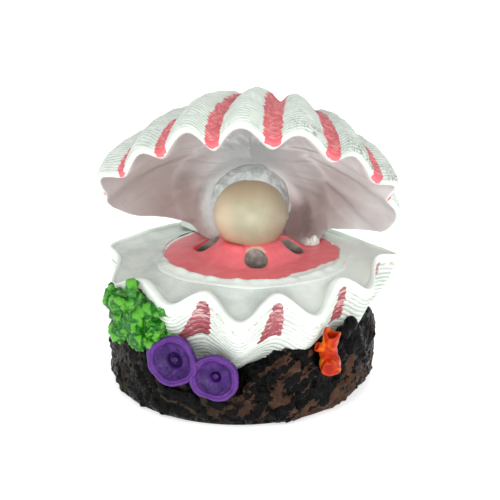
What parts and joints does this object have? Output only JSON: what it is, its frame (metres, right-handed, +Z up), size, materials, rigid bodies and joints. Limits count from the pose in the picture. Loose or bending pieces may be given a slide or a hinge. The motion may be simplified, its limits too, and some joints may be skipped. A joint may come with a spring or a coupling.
{
  "type": "aquarium bubbling ornament",
  "caption": "Open scalloped clam on a round rock, with a pearl between its valves; air from a rear inlet bubbles out of holes around the pearl.",
  "frame": {"origin": "centre of the rock base's flat underside", "axes": "+Z up; -Y is the front, which the open shell faces; +Y is the back, where the air inlet leaves; +X is to the right seen from the front"},
  "size_m": [0.0847, 0.0872, 0.085],
  "materials": {
    "rock_base": "cast polyresin, glossy near-black lacquer with brown dry brushing",
    "lower_valve": "cast polyresin, satin off-white with pink painted grooves",
    "mantle": "cast polyresin, satin coral pink",
    "pearl": "satin cream with a peach underside",
    "pearl_bedding": "rough grey-white filler",
    "upper_valve": "cast polyresin, satin off-white outside with pink painted grooves, lavender-grey inside",
    "green_coral": "cast polyresin, glossy bright green",
    "purple_polyp_left": "cast polyresin, satin purple",
    "purple_polyp_right": "cast polyresin, satin purple",
    "orange_sponge": "cast polyresin, glossy orange",
    "air_inlet": "moulded nylon, smooth",
    "inner_hose": "translucent silicone",
    "stone_nipple": "moulded plastic, smooth",
    "air_stone": "sintered mineral grit, rough and porous"
  },
  "bodies": {
    "root": {"rock_base": "rock_base", "lower_valve": "lower_valve", "mantle": "mantle", "pearl": "pearl", "pearl_bedding": "pearl_bedding", "upper_valve": "upper_valve", "green_coral": "green_coral", "purple_polyp_left": "purple_polyp_left", "purple_polyp_right": "purple_polyp_right", "orange_sponge": "orange_sponge", "air_inlet": "air_inlet", "inner_hose": "inner_hose", "stone_nipple": "stone_nipple", "air_stone": "air_stone"}
  },
  "joints": []
}
